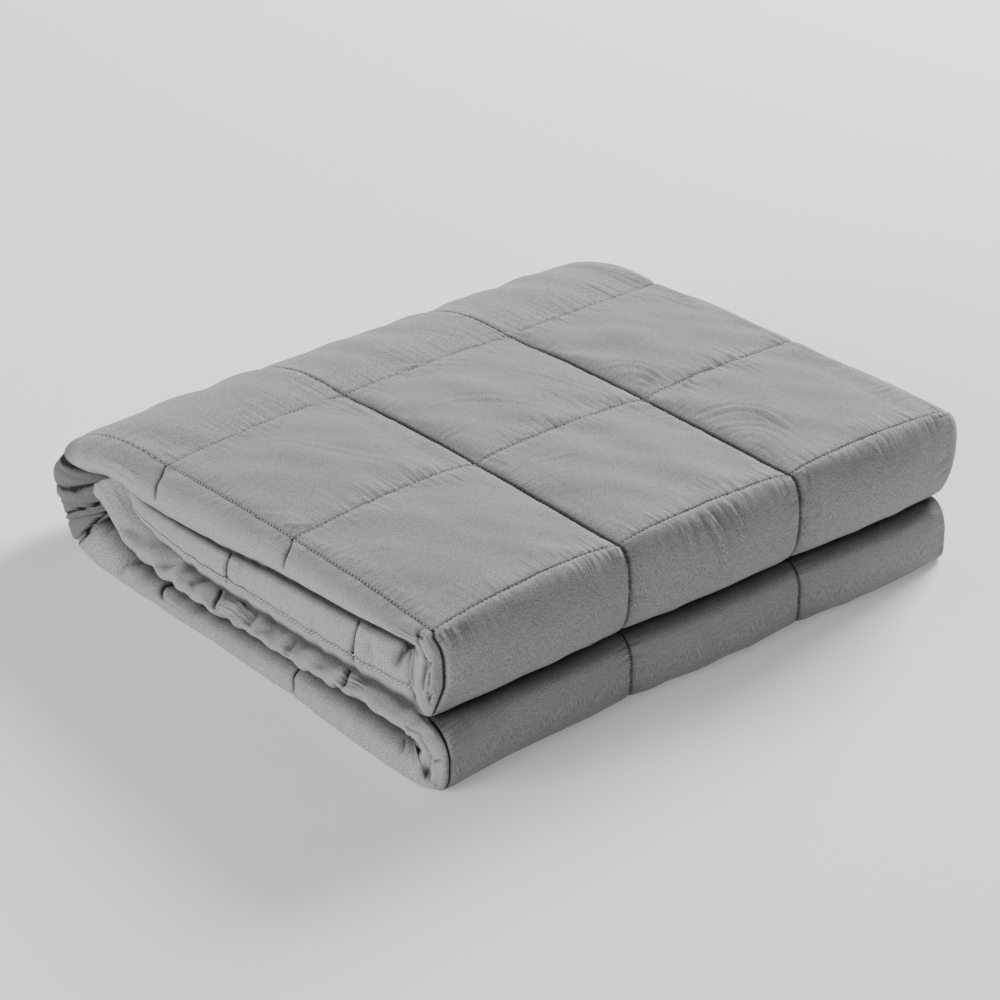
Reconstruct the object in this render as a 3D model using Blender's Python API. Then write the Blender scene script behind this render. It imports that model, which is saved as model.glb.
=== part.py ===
"""A quilted weighted blanket, folded into a pack and lying on its underside.

The quilt is a flat slab of cloth whose two faces are held together by lines of stitching, one square
apart. It is folded lengthwise first, so each long side of the pack is a rounded strip of cloth past the
outermost stitch line. Then both of its ends are brought to the middle and the whole is folded in half.

Every point of the slab has three labels: across, the squares from the left stitch line; along, the
squares from the stitch line at the top of the front; and its face, outer or inner. fold() turns the
labels into a place in the pack: +X runs along the front, +Y to the back, +Z up.
"""

import bmesh
import bpy
import numpy as np

# ---- Driving dimensions ----
SQUARE = 0.125  # metres from one stitch line to the next
SQUARES_ACROSS = 3  # squares between the pack's two long sides
ACROSS_PLACES = (0.0, 1.0, 2.0, 2.93)  # where the lengthwise stitch lines lie across the pack, in squares
PACK_CENTRE = (1.4236, 1.3387)  # the middle of the pack on the surface, in squares from the front left crossing
SURFACE = -0.736  # what the pack lies on, in squares below the stitch lines of its top face

# All lengths below are in squares.
GAP = 0.012  # clear space between two layers that lie on each other
SLIT = 0.05  # depth at which the slit inside each front bulge ends

# Heights of the gaps between the layers, and of the top, by depth from the front.
LAYERS = {
    "depth": (0.00, 0.50, 1.00, 1.50, 2.00, 2.30, 2.60),
    "top": (0.010, 0.005, -0.002, -0.022, -0.060, -0.090, -0.130),
    "upper_gap": (-0.140, -0.190, -0.220, -0.265, -0.285, -0.310, -0.320),
    "middle_gap": (-0.425, -0.405, -0.400, -0.430, -0.415, -0.370, -0.345),
    "lower_gap": (-0.545, -0.530, -0.530, -0.555, -0.575, -0.560, -0.540),
}
# How much lower each of them lies at the left side, where the cloth droops.
DROOPS = {
    "depth": (0.00, 0.50, 1.00, 1.50, 2.00, 2.30, 2.60),
    "top": (0.058, 0.042, 0.050, 0.050, 0.047, 0.056, 0.084),
    "upper_gap": (-0.020, -0.015, 0.000, 0.020, 0.030, 0.010, 0.000),
    "middle_gap": (0.025, 0.060, 0.090, 0.085, 0.055, 0.020, 0.010),
    "lower_gap": (0.020, 0.045, 0.070, 0.075, 0.045, 0.020, 0.010),
}
DROOP_REACH = 1.0  # how far the droop reaches across the pack

# The cloth's route, by its length along the outer face. depth is where it lies on a straight stretch,
# and turn is the angle on a bend, from the top of a front bulge or of the back down to its bottom.
UPPER_INNER = {"along": (-3.10, -3.00, -2.00, -1.00, -0.57), "depth": (2.345, 2.26, 1.36, 0.43, 0.00)}
TOP = {"along": (0.00, 1.00, 2.00, 2.05), "depth": (0.00, 0.984, 1.975, 2.02)}
BOTTOM = {"along": (3.45, 4.00, 5.00, 5.84), "depth": (2.55, 1.89, 0.86, 0.00)}
LOWER_INNER = {"along": (6.60, 7.00, 8.00, 9.00, 9.10), "depth": (0.00, 0.41, 1.34, 2.26, 2.345)}
BULGE_MIDDLE = (-0.28, 6.22)  # halfway round the upper and the lower front bulge
END_ROUNDING = 0.08  # how far from its two ends the cloth starts to thin

# The two front bulges and the turn at the back. reach is how far the stitched-down cloth stands out.
UPPER_BULGE = {"reach": 0.075, "upper_power": 2.4, "lower_power": 2.4}
LOWER_BULGE = {"reach": 0.100, "left_reach": 0.175, "upper_power": 2.2, "lower_power": 6.0}
BACK_TURN = {"reach": 2.86, "height": -0.50, "upper_power": 2.15, "lower_power": 2.0}
BACK_CORE = {"depth": 2.31, "reach": 0.07, "power": 4.0}

# How far each square swells past its stitch lines, and how far the side strips stand out, by length along.
SWELL = {
    "along": (-3.1, -0.60, -0.48, -0.35, -0.20, 0.20, 1.50, 2.20, 3.45, 5.85, 6.15, 6.38, 6.50, 6.60, 9.1),
    "height": (0.0, 0.0, 0.015, 0.060, 0.085, 0.035, 0.028, 0.008, 0.0, 0.0, 0.055, 0.055, 0.015, 0.0, 0.0),
}
LEFT_STRIP = {
    "along": (-3.1, -1.0, -0.50, -0.20, 0.05, 1.0, 2.0, 2.60, 3.10, 3.90, 4.50, 5.90, 6.30, 6.70, 9.1),
    "reach": (0.10, 0.12, 0.090, 0.080, 0.10, 0.13, 0.13, 0.16, 0.15, 0.22, 0.17, 0.15, 0.11, 0.12, 0.14),
}
RIGHT_STRIP = {
    "along": (-3.1, -0.60, -0.20, 0.20, 1.0, 3.0, 5.50, 6.00, 6.50, 9.1),
    "reach": (0.09, 0.09, 0.120, 0.110, 0.080, 0.070, 0.08, 0.040, 0.030, 0.09),
}
STRIP_PINCH = 0.20  # how much of its reach a strip loses where a stitch line crosses it
UNDERSIDE_GROOVE = 0.020  # how deep the stitch lines lie in the flat underside
GROOVE_FADE = 0.25  # how far from the two ends of the underside they reach that depth
# How much of a side strip lies down on its outer face, which it does where that face is on the surface.
SAG = {"along": (3.0, 3.6, 5.80, 6.30), "share": (0.0, 1.0, 1.0, 0.0)}

# Pleats where the side strips are crowded round the back turn; depth is the share of the reach lost.
PLEATS = {
    "along": (2.62, 2.92, 3.16, 3.40),
    "width": (0.045, 0.035, 0.040, 0.040),
    "depth": (0.35, 0.25, 0.30, 0.30),
}

# ---- How finely the slab is divided ----
ACROSS_STEPS = (0.0, 0.03, 0.12, 0.28, 0.50, 0.72, 0.88, 0.97)
STRIP_STEPS = (0.25, 0.50, 0.75, 1.0)
TOP_STEPS = (0.0, 0.03, 0.12, 0.28, 0.50, 0.72, 0.88, 0.97)
BEND_STEPS = (0.0, 0.03, 0.08, 0.15, 0.22, 0.30, 0.38, 0.46, 0.54, 0.62, 0.70, 0.78, 0.86, 0.92, 0.97)
HIDDEN_STEPS = (0.0, 0.08, 0.50, 0.92)

GREY = (0.27, 0.27, 0.275, 1.0)


def smooth(at, places, values):
    """A smooth curve through the values given at the places, which never overshoots them."""
    places = np.asarray(places, float)
    values = np.asarray(values, float)
    rises = np.diff(values) / np.diff(places)
    before, after = rises[:-1], rises[1:]
    same_way = before * after > 0
    slopes = np.zeros(len(values))
    slopes[1:-1][same_way] = 2 / (1 / before[same_way] + 1 / after[same_way])
    at = np.clip(at, places[0], places[-1])
    row = np.clip(np.searchsorted(places, at, side="right") - 1, 0, len(places) - 2)
    width = places[row + 1] - places[row]
    t = (at - places[row]) / width
    rise = 3 * t**2 - 2 * t**3
    start = t**3 - 2 * t**2 + t
    end = t**3 - t**2
    return (
        values[row] * (1 - rise)
        + values[row + 1] * rise
        + width * (slopes[row] * start + slopes[row + 1] * end)
    )


def height(name, across, depth):
    """The height of the top, or of a gap between two layers."""
    beside = np.clip(1 - across / DROOP_REACH, 0, 1)
    droop = smooth(depth, DROOPS["depth"], DROOPS[name])
    return smooth(depth, LAYERS["depth"], LAYERS[name]) - droop * beside**2


def straight(table, along):
    return np.interp(along, table["along"], table["depth"])


def superellipse(turn, upper_power, lower_power):
    """(out, up) on a rounded half turn; turn runs from 1 at its top to -1 at its bottom."""
    angle = turn * np.pi / 2
    out = np.cos(angle)
    up = np.sin(angle)
    power = np.where(up > 0, upper_power, lower_power)
    return np.abs(out) ** (2 / power), np.sign(up) * np.abs(up) ** (2 / power)


def front_bulge(turn, top, bottom, reach, powers, gap, bottom_depth=0.0):
    """Outer and inner points of a front bulge between two heights, round the slit at the height gap."""
    out, up = superellipse(turn, *powers)
    middle = (top + bottom) / 2
    start = np.where(up < 0, bottom_depth, 0.0)
    outer = (start - (reach + start) * out, middle + (top - bottom) / 2 * up)
    inner = (SLIT - GAP * out, gap + GAP / 2 * up)
    return outer, inner


def back_turn(turn, across):
    """Outer and inner points of the turn at the back, round the ends of the inner layers."""
    out, up = superellipse(turn, BACK_TURN["upper_power"], BACK_TURN["lower_power"])
    start = np.where(up > 0, TOP["depth"][-1], BOTTOM["depth"][0])
    end_height = np.where(up > 0, height("top", across, start), SURFACE)
    widest = BACK_TURN["height"]
    outer = (start + (BACK_TURN["reach"] - start) * out, widest + np.abs(end_height - widest) * up)
    high = height("upper_gap", across, BACK_CORE["depth"])
    low = height("lower_gap", across, BACK_CORE["depth"])
    core_out, core_up = superellipse(turn, BACK_CORE["power"], BACK_CORE["power"])
    core = BACK_CORE["depth"] + BACK_CORE["reach"] * core_out
    inner = (core, (high + low) / 2 + (high - low + GAP) / 2 * core_up)
    return outer, inner


def section(across, along):
    """The outer and the inner point, as (depth, height), of the cloth at its seams."""
    outer = np.zeros((2, len(along)))
    inner = np.zeros((2, len(along)))

    def fill(where, found_outer, found_inner):
        for row in range(2):
            outer[row][where] = np.broadcast_to(found_outer[row], along.shape)[where]
            inner[row][where] = np.broadcast_to(found_inner[row], along.shape)[where]

    bulge_ends = UPPER_INNER["along"][-1], 0.0
    back_ends = TOP["along"][-1], BOTTOM["along"][0]
    low_ends = BOTTOM["along"][-1], LOWER_INNER["along"][0]

    depth = straight(UPPER_INNER, along)
    inside = np.maximum(depth, SLIT)
    fill(
        along <= bulge_ends[0],
        (depth, height("middle_gap", across, depth) + GAP / 2),
        (inside, height("upper_gap", across, inside) - GAP / 2),
    )

    turn = 2 * (along - bulge_ends[0]) / (bulge_ends[1] - bulge_ends[0]) - 1
    bulge = front_bulge(
        turn,
        height("top", across, 0),
        height("middle_gap", across, 0) + GAP / 2,
        UPPER_BULGE["reach"],
        (UPPER_BULGE["upper_power"], UPPER_BULGE["lower_power"]),
        height("upper_gap", across, SLIT),
    )
    fill((along > bulge_ends[0]) & (along < bulge_ends[1]), *bulge)

    depth = straight(TOP, along)
    inside = np.interp(along, (0.0, back_ends[0]), (SLIT, BACK_CORE["depth"]))
    fill(
        (along >= 0) & (along <= back_ends[0]),
        (depth, height("top", across, depth)),
        (inside, height("upper_gap", across, inside) + GAP / 2),
    )

    turn = 1 - 2 * (along - back_ends[0]) / (back_ends[1] - back_ends[0])
    fill((along > back_ends[0]) & (along < back_ends[1]), *back_turn(turn, across))

    depth = straight(BOTTOM, along)
    inside = np.interp(along, (back_ends[1], low_ends[0]), (BACK_CORE["depth"], SLIT))
    fill(
        (along >= back_ends[1]) & (along <= low_ends[0]),
        (depth, SURFACE),
        (inside, height("lower_gap", across, inside) - GAP / 2),
    )

    turn = 2 * (along - low_ends[0]) / (low_ends[1] - low_ends[0]) - 1
    beside = np.clip(1 - across / 0.5, 0, 1)
    reach = LOWER_BULGE["reach"] + (LOWER_BULGE["left_reach"] - LOWER_BULGE["reach"]) * beside**2
    bulge = front_bulge(
        turn,
        height("middle_gap", across, 0) - GAP / 2,
        SURFACE,
        reach,
        (LOWER_BULGE["upper_power"], LOWER_BULGE["lower_power"]),
        height("lower_gap", across, SLIT),
        BOTTOM["depth"][-1],
    )
    fill((along > low_ends[0]) & (along < low_ends[1]), *bulge)

    depth = straight(LOWER_INNER, along)
    inside = np.maximum(depth, SLIT)
    fill(
        along >= low_ends[1],
        (depth, height("middle_gap", across, depth) - GAP / 2),
        (inside, height("lower_gap", across, inside) + GAP / 2),
    )
    return outer, inner


def swelling(across, along):
    """0 on a stitch line and 1 in the middle of a square."""
    over = np.abs(np.sin(np.pi * np.clip(across, 0, SQUARES_ACROSS)))
    down = np.abs(np.sin(np.pi * along))
    return (over * down) ** 0.4


def strip(across, along):
    """How far past the outer stitch lines a point lies, and how much of the cloth's thickness it keeps."""
    past_left = np.clip(-across, 0, 1)
    past_right = np.clip(across - SQUARES_ACROSS, 0, 1)
    past = past_left + past_right
    thickness = np.maximum(np.cos(past * np.pi / 2), 0.12)
    left = smooth(along, LEFT_STRIP["along"], LEFT_STRIP["reach"])
    right = smooth(along, RIGHT_STRIP["along"], RIGHT_STRIP["reach"])
    pinch = 1 - STRIP_PINCH * (1 - np.abs(np.sin(np.pi * along)) ** 0.5)
    for place, width, depth in zip(PLEATS["along"], PLEATS["width"], PLEATS["depth"]):
        pinch = pinch * (1 - depth * np.clip(1 - np.abs(along - place) / width, 0, 1))
    out = np.sin(past * np.pi / 2) * pinch
    sideways = np.where(past_left > 0, -left, right) * out
    return sideways, thickness


def fold(across, along, face):
    """Places of the slab's points in the pack, in squares from the front left crossing of the top."""
    outer, inner = section(across, along)
    ahead, _ = section(across, along + 1e-4)
    behind, _ = section(across, along - 1e-4)
    along_way = ahead - behind
    along_way = along_way / np.maximum(np.linalg.norm(along_way, axis=0), 1e-9)
    outward = np.array([-along_way[1], along_way[0]])
    swell = swelling(across, along) * smooth(along, SWELL["along"], SWELL["height"])
    start, end = BOTTOM["along"][0], BOTTOM["along"][-1]
    underside = (along > start) & (along < end)
    outer = outer + outward * np.where(underside, 0, swell)
    inside = np.clip(np.minimum(along - start, end - along) / GROOVE_FADE, 0, 1)
    groove = UNDERSIDE_GROOVE * np.clip(1 - swelling(across, along) / 0.5, 0, 1) * inside
    outer[1] = np.maximum(outer[1], SURFACE + groove)
    parting = height("middle_gap", across, outer[0])
    outer[1] = np.where(along < BULGE_MIDDLE[0], np.maximum(outer[1], parting + GAP / 2), outer[1])
    outer[1] = np.where(along > BULGE_MIDDLE[1], np.minimum(outer[1], parting - GAP / 2), outer[1])

    sideways, thickness = strip(across, along)
    middle = (outer + inner) / 2
    half = (outer - inner) / 2
    end = np.minimum(along - UPPER_INNER["along"][0], LOWER_INNER["along"][-1] - along)
    rounded_end = np.sqrt(1 - (1 - np.clip(end / END_ROUNDING, 0.02, 1)) ** 2)
    sag = np.interp(along, SAG["along"], SAG["share"])
    middle = middle + half * sag * (1 - thickness)
    point = middle + half * thickness * rounded_end * face
    x = np.interp(across, range(SQUARES_ACROSS + 1), ACROSS_PLACES) + sideways
    return np.stack([x, point[0], point[1]], axis=1)


def spread(start, end, steps):
    """Every step of every square from start to end, with both ends."""
    first = int(np.floor(start))
    places = [square + step for square in range(first, int(np.ceil(end))) for step in steps]
    return [start] + [place for place in places if start + 0.015 < place < end - 0.015] + [end]


def stations():
    """The places along the cloth where the slab is divided."""
    bulge = UPPER_INNER["along"][-1]
    top_end = TOP["along"][-1]
    back = BOTTOM["along"][0]
    low_bulge = BOTTOM["along"][-1]
    low_inner = LOWER_INNER["along"][0]
    places = spread(UPPER_INNER["along"][0], bulge, HIDDEN_STEPS)
    places += spread(bulge, 0, BEND_STEPS)
    places += spread(0, top_end, TOP_STEPS)
    places += spread(top_end, back, BEND_STEPS)
    for place, width in zip(PLEATS["along"], PLEATS["width"]):
        places += [place - width, place, place + width]
    places += spread(back, low_bulge, HIDDEN_STEPS)
    places += spread(low_bulge, low_inner, BEND_STEPS)
    places += spread(low_inner, LOWER_INNER["along"][-1], HIDDEN_STEPS)
    places = sorted(places)
    kept = places[:1]
    for place in places[1:]:
        if place - kept[-1] > 0.012:
            kept.append(place)
    return np.array(kept)


def columns():
    """The places across the cloth where the slab is divided; a strip is 0 to 1 past its stitch line."""
    squares = spread(0, SQUARES_ACROSS, ACROSS_STEPS)
    left = [-step for step in reversed(STRIP_STEPS)]
    right = [SQUARES_ACROSS + step for step in STRIP_STEPS]
    return np.array(left + squares + right)


def slab(name):
    """The flat slab as a grid with two faces, then folded point by point."""
    across = columns()
    along = stations()
    mesh = bmesh.new()
    cells = (len(across) - 1, len(along) - 1)
    bmesh.ops.create_grid(mesh, x_segments=cells[0], y_segments=cells[1], size=0.5)
    bmesh.ops.solidify(mesh, geom=mesh.faces[:], thickness=0.01)
    flat = np.array([vert.co[:] for vert in mesh.verts])
    column = np.rint((flat[:, 0] + 0.5) * cells[0]).astype(int)
    station = np.rint((flat[:, 1] + 0.5) * cells[1]).astype(int)
    face = np.where(flat[:, 2] < flat[:, 2].mean(), 1.0, -1.0)
    folded = fold(across[column], along[station], face)
    folded -= (PACK_CENTRE[0], PACK_CENTRE[1], SURFACE)
    for vert, place in zip(mesh.verts, folded * SQUARE):
        vert.co = place
    bmesh.ops.recalc_face_normals(mesh, faces=mesh.faces[:])
    data = bpy.data.meshes.new(name)
    mesh.to_mesh(data)
    mesh.free()
    data.shade_smooth()
    return data


def cloth():
    """Soft grey microfibre."""
    material = bpy.data.materials.new("grey_cloth")
    material.use_nodes = True
    shader = material.node_tree.nodes["Principled BSDF"]
    shader.inputs["Base Color"].default_value = GREY
    shader.inputs["Roughness"].default_value = 0.9
    shader.inputs["Metallic"].default_value = 0.0
    return material


def build():
    for old in list(bpy.data.objects):
        bpy.data.objects.remove(old)
    blanket = bpy.data.objects.new("blanket", slab("blanket"))
    blanket.data.materials.append(cloth())
    bpy.context.collection.objects.link(blanket)


build()
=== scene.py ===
"""The looks of a folded, quilted weighted blanket: its cloth, seams, creases and stitches."""

import bmesh
import bpy
import numpy as np
from mathutils import Matrix, Vector


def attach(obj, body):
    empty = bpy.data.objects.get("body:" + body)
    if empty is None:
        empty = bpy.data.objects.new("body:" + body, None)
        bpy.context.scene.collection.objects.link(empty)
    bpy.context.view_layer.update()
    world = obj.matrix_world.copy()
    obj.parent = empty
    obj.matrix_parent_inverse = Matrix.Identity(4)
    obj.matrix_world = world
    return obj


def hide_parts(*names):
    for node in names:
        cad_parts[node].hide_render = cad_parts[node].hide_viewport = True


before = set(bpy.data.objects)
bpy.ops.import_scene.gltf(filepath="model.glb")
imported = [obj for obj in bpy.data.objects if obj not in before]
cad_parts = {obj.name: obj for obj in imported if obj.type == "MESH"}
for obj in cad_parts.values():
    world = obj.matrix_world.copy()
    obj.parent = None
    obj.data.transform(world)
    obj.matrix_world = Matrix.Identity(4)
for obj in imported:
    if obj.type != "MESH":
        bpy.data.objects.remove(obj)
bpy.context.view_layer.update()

# ---- The folded quilt, as in the part's source. Lengths are in squares unless a name says mm. Depth runs
# back from the front seams, heights are from about the front top seam, and along is along the cloth ----
SQUARE = 0.125  # metres from one stitch line to the next
SQUARE_MM = 1000 * SQUARE
SQUARES_ACROSS = 3
ACROSS_PLACES = (0.0, 1.0, 2.0, 2.93)  # of the stitch lines that run back
PACK_CENTRE = (1.4236, 1.3387)  # across and depth
SURFACE = -0.736  # the height of what the pack lies on
GAP = 0.012  # between two layers
SLIT = 0.05  # how far back the gap inside a front bulge ends
LAYERS = {
    "depth": (0.00, 0.50, 1.00, 1.50, 2.00, 2.30, 2.60),
    "top": (0.010, 0.005, -0.002, -0.022, -0.060, -0.090, -0.130),
    "upper_gap": (-0.140, -0.190, -0.220, -0.265, -0.285, -0.290, -0.290),
    "middle_gap": (-0.425, -0.405, -0.400, -0.430, -0.415, -0.315, -0.300),
    "lower_gap": (-0.545, -0.530, -0.530, -0.555, -0.575, -0.480, -0.440),
}
# How far the same heights droop at the left stitch line.
DROOPS = {
    "depth": (0.00, 0.50, 1.00, 1.50, 2.00, 2.30, 2.60),
    "top": (0.058, 0.042, 0.050, 0.050, 0.047, 0.056, 0.084),
    "upper_gap": (-0.020, -0.015, 0.000, 0.020, 0.030, 0.010, 0.000),
    "middle_gap": (0.025, 0.060, 0.090, 0.085, 0.055, -0.005, 0.000),
    "lower_gap": (0.020, 0.045, 0.070, 0.075, 0.045, 0.020, 0.010),
}
DROOP_REACH = 1.0  # the droop ends this far across
UPPER_INNER = {"along": (-3.10, -3.00, -2.00, -1.00, -0.57), "depth": (2.345, 2.26, 1.36, 0.43, 0.00)}
TOP = {"along": (0.00, 1.00, 2.00, 2.05), "depth": (0.00, 0.984, 1.975, 2.02)}
BOTTOM = {"along": (3.45, 4.00, 5.00, 5.84), "depth": (2.55, 1.89, 0.86, 0.00)}
LOWER_INNER = {"along": (6.60, 7.00, 8.00, 9.00, 9.10), "depth": (0.00, 0.41, 1.34, 2.26, 2.345)}
BULGE_MIDDLE = (-0.28, 6.22)  # along, of the upper and the lower front bulge
END_ROUNDING = 0.08  # length along over which the two ends of the cloth are rounded
END_BLUNTNESS = 0.02  # keeps the very ends from closing to nothing
UPPER_BULGE = {"reach": 0.075, "upper_power": 2.4, "lower_power": 2.4}
LOWER_BULGE = {"reach": 0.100, "left_reach": 0.175, "upper_power": 2.2, "lower_power": 6.0}
BACK_TURN = {"reach": 2.86, "height": -0.50, "upper_power": 2.15, "lower_power": 2.0}
BACK_CORE = {"depth": 2.31, "reach": 0.07, "power": 4.0}
# How high the squares swell between their seams.
SWELL = {
    "along": (-3.1, -0.60, -0.48, -0.35, -0.20, 0.20, 1.50, 2.20, 3.45, 5.85, 6.15, 6.38, 6.50, 6.60, 9.1),
    "height": (0.0, 0.0, 0.015, 0.060, 0.085, 0.035, 0.028, 0.008, 0.0, 0.0, 0.055, 0.055, 0.015, 0.0, 0.0),
}
SWELL_POWERS = {"across": 0.5, "across_last": 0.9, "along": 0.6}  # across_last: beside the right seam
SWELL_ON_CROSS_SEAMS = 0.3
# How far the side folds reach past the outer stitch lines.
LEFT_STRIP = {
    "along": (-3.1, -2.8, -1.0, -0.50, -0.20, 0.05, 1.0, 2.0, 2.6, 3.1, 3.9, 4.5, 5.9, 6.3, 6.7, 8.8, 9.1),
    "reach": (
        0.05, 0.10, 0.12, 0.09, 0.08, 0.10, 0.12, 0.16, 0.175, 0.17, 0.18, 0.14, 0.13, 0.11, 0.12, 0.15, 0.12,
    ),
}
TIP = {"reach": 0.19, "length": 0.8}  # the lower inner layer reaches farther back along the left edge
RIGHT_STRIP = {
    "along": (-3.1, -0.60, -0.20, 0.20, 1.0, 3.0, 5.50, 6.00, 6.50, 9.1),
    "reach": (0.09, 0.09, 0.120, 0.110, 0.080, 0.070, 0.08, 0.040, 0.030, 0.09),
}
STRIP_PINCH = 0.12  # how much the seams draw the side folds in
# How far past its straight course the left stitch line lies, at the two front folds.
LEFT_EDGE = {
    "along": (-0.60, -0.43, -0.35, -0.30, -0.21, -0.16, -0.07, 0.02, 5.85, 6.07, 6.19, 6.35, 6.55, 6.70),
    "out": (0.040, 0.040, 0.022, 0.005, 0.004, 0.010, 0.021, 0.0, 0.0, 0.072, 0.058, 0.052, 0.040, 0.0),
}
# Where the left fold's underside sags flat on what it lies on.
SAG = {"along": (3.0, 3.6, 5.80, 6.30), "share": (0.0, 1.0, 1.0, 0.0)}
# Pleats that draw the left fold in at the back turn.
PLEATS = {
    "along": (2.62, 2.92, 3.16, 3.40),
    "width": (0.045, 0.035, 0.040, 0.040),
    "depth": (0.12, 0.10, 0.12, 0.12),
}

# ---- The cloth as one tube: girth runs once round it, and along is its length ----
# girth: -1 to 0 the left fold's upper half, 0 to 3 the outer face, 3 to 5 the right fold,
# 5 to 8 the inner face, 8 to 9 the left fold's lower half.
RIGHT, TURN, INNER, LOWER, END = 3, 4, 5, 8, 9
FOLD_WIDTH = 0.22  # cloth width of half a side fold
CELLS = 8  # coarse cells to a square
HALVINGS = 3  # how often a cell is halved where the cloth is seen closely
# Lengths along the outer face: the top with the upper bulge, the lower bulge, and the back turn.
CLOSE_TOP = (-0.625, 2.5)
CLOSE_FRONT = (5.75, 6.75)
BACK_TURN_SEEN = (2.5, 3.5)
# Cuts crowd next to a stitch line: the share of half a square in cells, and in cloth.
CROWD = {
    "cells": (0, 1 / 32, 2 / 32, 4 / 32, 8 / 32, 1),
    "cloth": (0, 0.008, 0.021, 0.062, 0.176, 1),
}
# The same across half a left side fold.
STRIP_CROWD = {"cells": (0, 1 / 16, 2 / 16, 4 / 16, 1), "cloth": (0, 0.012, 0.035, 0.12, 1)}
SEAM_BEND = 0.02  # how far past the stitch line the cuts turn to run along the seams
NUDGE = 1e-4  # how far along the cloth its seams' direction is measured
SIGHT = 2e-3  # how far round and along the cloth its surface's direction is measured

# ---- Stitch lines. Depth and width are in mm, places in squares; shade is the shade painted along the seam ----
SEAMS = {
    "lies": ("long",) * 7 + ("cross",) * 7,
    "at": (0, 0, 0, 1, 2, 1, 2, 0, 1, 2, 3, 4, 5, 6),
    "start": (0.00, -0.46, 6.06, -0.62, -0.62, 0.10, 0.10, 0, 0, 0, 0, 0, 0, 0),
    "end": (3.40, 0.00, 6.75, 6.70, 6.70, 1.90, 1.90, 3, 3, 3, 3, 3, 3, 3),
    "fade": (0.02, 0.02, 0.02, 0.02, 0.02, 0.30, 0.30, 0.02, 0.02, 0.02, 0.02, 0.02, 0.02, 0.02),
    "depth": (0.6, 0.8, 0.8, 1.0, 1.0, 2.5, 2.5, 0.6, 0.8, 0.8, 0.6, 0.6, 0.6, 0.5),
    "width": (1.5, 1.0, 1.0, 1.2, 1.2, 12.0, 12.0, 1.3, 2.2, 2.2, 1.7, 1.7, 1.7, 1.3),
    "painted_shade": (0.65, 0.95, 0.95, 0.70, 0.70, 0.0, 0.0, 0.85, 0.60, 0.60, 0.45, 0.45, 0.45, 0.20),
}
SEAM_SHADE_WIDTH = 0.7  # mm
# The cross seams on the right side fold, with shade painted along them.
RIGHT_SEAMS = {
    "at": (-2, -1, 0, 1, 2, 3, 4, 5, 7, 8),
    "fade": 0.02,
    "depth": 1.2,
    "width": 1.6,
    "painted_shade": 0.6,
}
# The overlocked hem that shows between the second strip and the third.
HEM = (
    (-0.218, -2.85), (-0.212, -2.4), (-0.218, -2.05), (-0.21, -1.6),
    (-0.206, -1.2), (-0.2, -0.95), (-0.2, -0.6),
)
# A trough along the hem, with shade painted along it.
HEM_CREASE = (0.8, 2.4, 0.65, HEM)
HEM_STITCH = {"pitch": 1.7, "swing": 0.45, "radius": 0.42, "lift": 0.35}  # mm
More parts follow.
